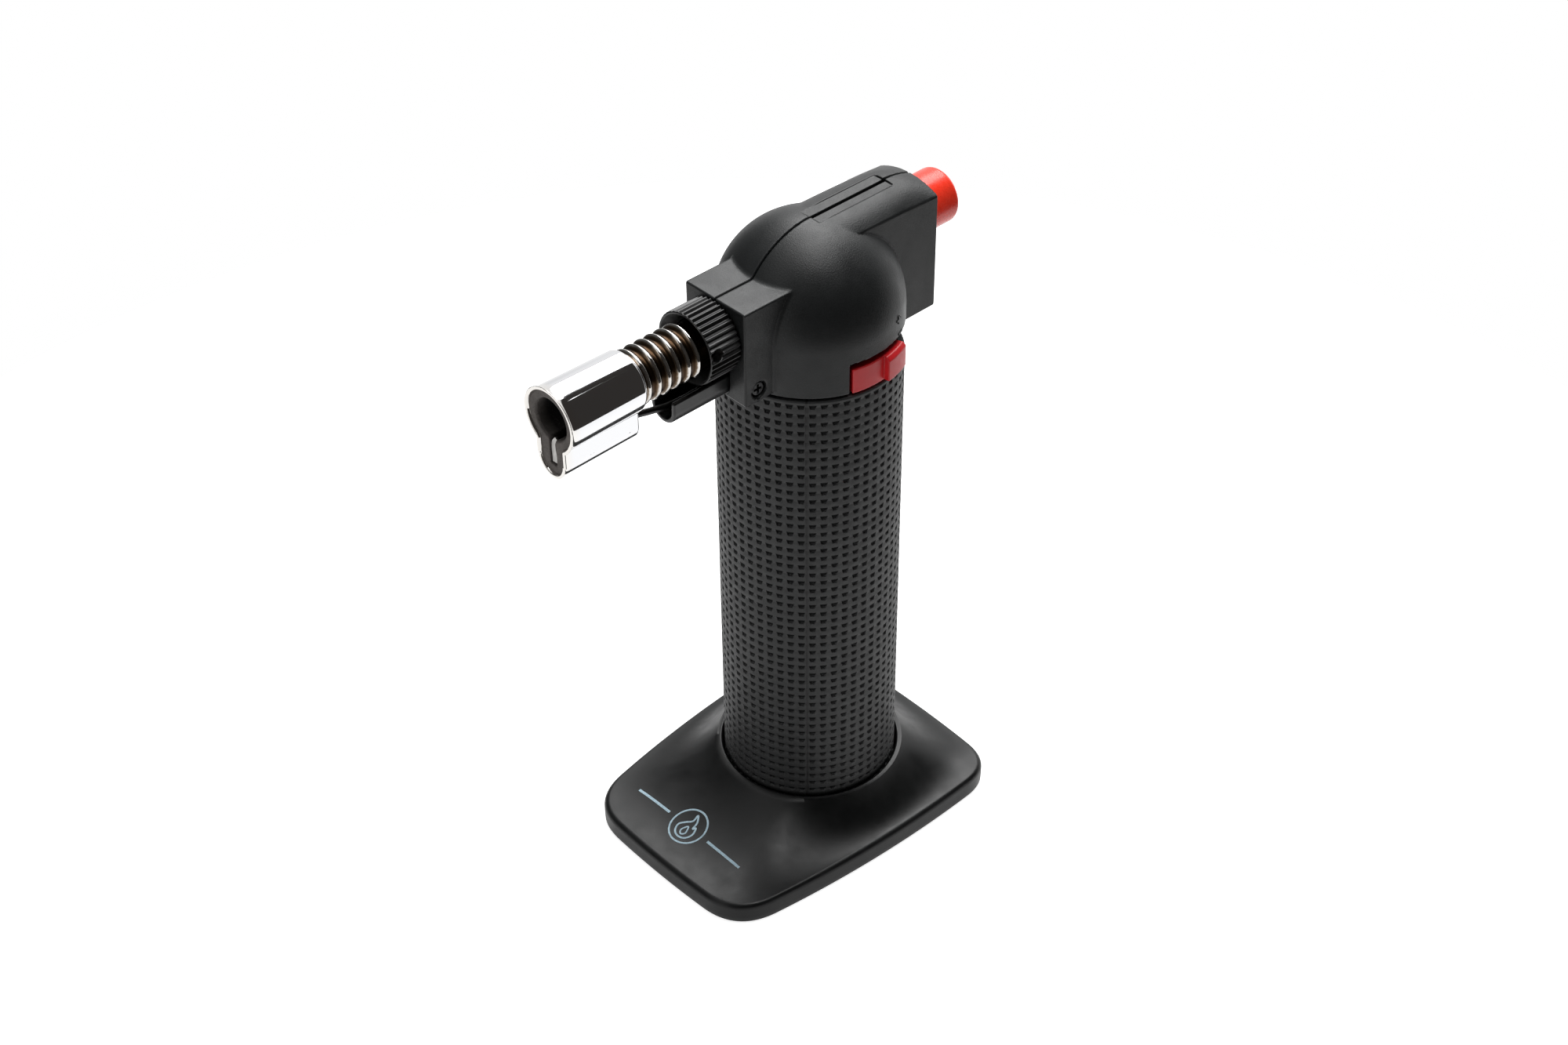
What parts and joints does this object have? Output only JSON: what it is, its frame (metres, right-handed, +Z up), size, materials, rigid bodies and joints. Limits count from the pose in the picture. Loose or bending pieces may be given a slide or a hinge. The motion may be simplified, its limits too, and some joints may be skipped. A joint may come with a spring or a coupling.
{
  "type": "butane torch",
  "caption": "Handheld butane gas torch with forward burner nozzle, air collar, push igniter, gas lever and a removable standing foot.",
  "frame": {"origin": "centre of the object's bounding box in plan, on the surface it stands on", "axes": "+Z up along the tank, -Y out of the nozzle, +Y towards the igniter button, +X the side with the gas lever"},
  "size_m": [0.0598, 0.1012, 0.1489],
  "materials": {
    "shell_black": "fine satin texture",
    "foot_black": "satin",
    "grip_rubber": "moulded lattice, semi-matte",
    "collar_black": "satin",
    "button_red": "satin gloss",
    "lever_red": "slightly translucent gloss",
    "chrome": "mirror polished",
    "nickel": "bright nickel plate",
    "steel": "bright",
    "brass": "machined",
    "black_steel": "black oxide",
    "ceramic_grey": "matt",
    "ceramic_white": "unglazed",
    "tank_nylon": "natural",
    "seal_rubber": "matt",
    "hose_clear": "clear soft hose",
    "wick_felt": "pressed felt",
    "igniter_grey": "satin",
    "lead_black": "satin insulation"
  },
  "bodies": {
    "foot": {"foot_stand": "foot_black"},
    "torch": {"burner_tube": "nickel", "electrode_insulator": "ceramic_white", "filler_body": "brass", "filler_seal": "seal_rubber", "filler_spring": "steel", "fuel_tank": "tank_nylon", "fuel_wick": "wick_felt", "gas_hose": "hose_clear", "gas_jet": "brass", "grip_sleeve": "grip_rubber", "ground_lead": "steel", "igniter_case": "igniter_grey", "igniter_spring": "steel", "ignition_lead": "lead_black", "jet_holder": "brass", "lid_seal_ring": "seal_rubber", "nozzle_insert": "ceramic_grey", "nozzle_sheath": "chrome", "rocker_pin": "steel", "shell_left": "shell_black", "shell_right": "shell_black", "shell_screw": "black_steel", "spark_electrode": "steel", "tank_lid": "tank_nylon", "valve_body": "brass", "valve_cap": "brass", "valve_spring": "steel", "wire_trough": "collar_black"},
    "button": {"igniter_button": "button_red", "igniter_plunger": "ceramic_white"},
    "lever": {"gas_lever": "lever_red", "flow_adjuster": "brass"},
    "rocker": {"gas_rocker": "black_steel"},
    "stem": {"valve_stem": "steel", "valve_seal": "seal_rubber"},
    "collar": {"air_collar": "collar_black"},
    "filler": {"filler_stem": "steel"}
  },
  "joints": [
    {"name": "foot_release", "type": "slide", "parent": "foot", "child": "torch", "axis": [0, 0, 1], "range_m": [0, 0.03]},
    {"name": "igniter_press", "type": "slide", "parent": "torch", "child": "button", "axis": [0, -1, 0], "range_m": [0, 0.0045], "stiffness_N_per_m": 2200, "springref_m": -0.0008, "deforming": ["igniter_spring"]},
    {"name": "gas_flow_turn", "type": "hinge", "parent": "torch", "child": "lever", "pos_m": [0, 0.0145, 0.122], "axis": [0, 0, 1], "range_deg": [0, 35]},
    {"name": "rocker_tilt", "type": "hinge", "parent": "torch", "child": "rocker", "pos_m": [0, 0.0107, 0.129], "axis": [1, 0, 0], "range_deg": [0, 21.5]},
    {"name": "valve_lift", "type": "slide", "parent": "torch", "child": "stem", "axis": [0, 0, 1], "range_m": [0, 0.0014], "deforming": ["valve_spring"]},
    {"name": "air_turn", "type": "hinge", "parent": "torch", "child": "collar", "pos_m": [0, -0.014, 0.1336], "axis": [0, -1, 0], "range_deg": [-45, 45]},
    {"name": "filler_push", "type": "slide", "parent": "torch", "child": "filler", "axis": [0, 0, 1], "range_m": [0, 0.0015], "stiffness_N_per_m": 600, "springref_m": -0.002, "deforming": ["filler_spring"]}
  ],
  "couplings": [
    {"joint": "rocker_tilt", "follows": "igniter_press", "rad_per_m": 83.3},
    {"joint": "valve_lift", "follows": "igniter_press", "ratio": 0.309}
  ]
}
